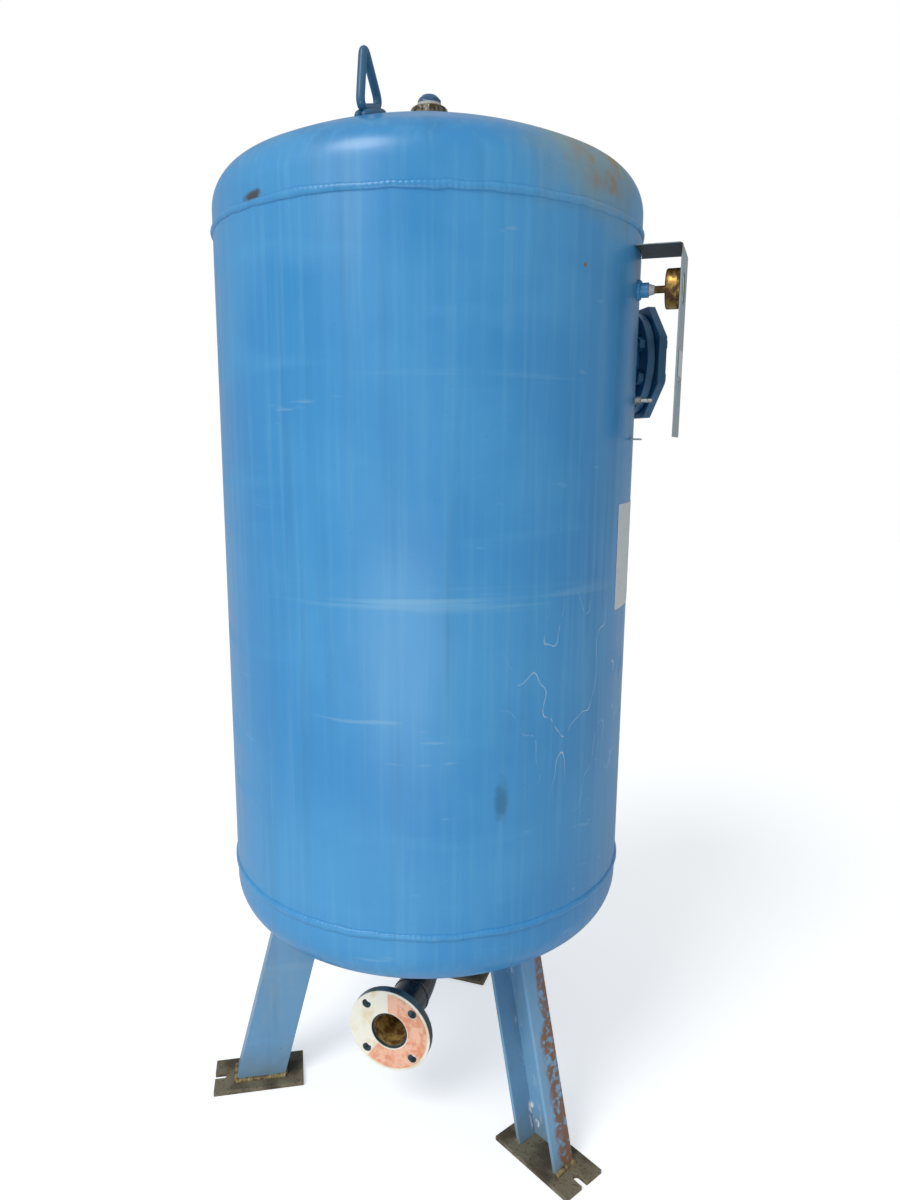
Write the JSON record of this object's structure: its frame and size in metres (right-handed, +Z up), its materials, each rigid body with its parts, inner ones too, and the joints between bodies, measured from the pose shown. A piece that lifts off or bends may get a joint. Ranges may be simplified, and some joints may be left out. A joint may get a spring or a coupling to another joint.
{
  "type": "closed expansion vessel",
  "caption": "Vertical welded steel expansion vessel on splayed channel legs, with a bottom flanged inlet elbow, bolted handhole, dial pressure gauge behind a guard plate and lifting lugs.",
  "frame": {"origin": "on the floor at the middle of the whole footprint's box; the tank's own axis stands 24.5 mm to -X and 32.75 mm to -Y of it, because the gauge's guard and the rear foot reach further out than what is opposite them", "axes": "+Z up along the tank's axis, -Y the way the inlet flange faces, +X the way the pressure gauge faces"},
  "size_m": [0.9114, 0.8726, 2.011],
  "materials": {
    "blue_paint": "semi-gloss mid-blue enamel, scuffed",
    "guard_paint": "weathered grey-blue paint",
    "bare_rusty_steel": "bare mill steel with brown rust",
    "black_pipe_steel": "black varnished mill scale",
    "flange_steel": "dull plated steel, pale primer on the face",
    "gasket_sheet": "matte salmon sheet",
    "galvanised": "dull zinc",
    "old_brass": "tarnished and stained",
    "sealing_tape": "white thread tape",
    "rubber": "matte black rubber",
    "dial_white": "matt white dial with plain marks",
    "pointer_black": "satin black",
    "clear_window": "clear flat glass",
    "blank_label": "blank off-white label"
  },
  "bodies": {
    "vessel": {"bladder": "rubber", "bladder_ring": "galvanised", "bottom_head": "blue_paint", "bottom_seam_weld": "blue_paint", "earth_nut": "galvanised", "earth_stud": "galvanised", "foot_plate_left": "bare_rusty_steel", "foot_plate_rear": "bare_rusty_steel", "foot_plate_right": "bare_rusty_steel", "gauge_bezel": "old_brass", "gauge_boss": "blue_paint", "gauge_bourdon_tube": "old_brass", "gauge_case": "old_brass", "gauge_dial": "dial_white", "gauge_movement": "old_brass", "gauge_stem": "old_brass", "gauge_tape": "sealing_tape", "gauge_window": "clear_window", "guard_nameplate": "blank_label", "guard_plate": "guard_paint", "handhole_bolt_1": "blue_paint", "handhole_bolt_2": "blue_paint", "handhole_bolt_3": "blue_paint", "handhole_bolt_4": "blue_paint", "handhole_bolt_5": "blue_paint", "handhole_bolt_6": "blue_paint", "handhole_bolt_7": "blue_paint", "handhole_bolt_8": "blue_paint", "handhole_cover": "blue_paint", "handhole_flange": "blue_paint", "handhole_gasket": "rubber", "handhole_neck": "blue_paint", "handhole_nut_1": "blue_paint", "handhole_nut_2": "blue_paint", "handhole_nut_3": "blue_paint", "handhole_nut_4": "blue_paint", "handhole_nut_5": "blue_paint", "handhole_nut_6": "blue_paint", "handhole_nut_7": "blue_paint", "handhole_nut_8": "blue_paint", "inlet_elbow": "black_pipe_steel", "inlet_flange": "flange_steel", "inlet_gasket_remnant": "gasket_sheet", "inlet_spool": "black_pipe_steel", "inlet_stub": "blue_paint", "leg_left": "blue_paint", "leg_rear": "blue_paint", "leg_right": "blue_paint", "lifting_lug_front": "blue_paint", "lifting_lug_rear": "blue_paint", "shell": "blue_paint", "shell_label": "blank_label", "support_tab": "guard_paint", "top_bush": "galvanised", "top_head": "blue_paint", "top_plug": "blue_paint", "top_plug_tape": "sealing_tape", "top_seam_weld": "blue_paint", "top_socket": "blue_paint"},
    "pointer": {"gauge_pointer": "pointer_black"}
  },
  "joints": [
    {"name": "gauge_pointer_turn", "type": "hinge", "parent": "vessel", "child": "pointer", "pos_m": [0.44008, -0.03275, 1.647], "axis": [-1, 0, 0], "range_deg": [0, 270], "stiffness_Nm_per_rad": 0.001, "springref_deg": -28.65}
  ]
}
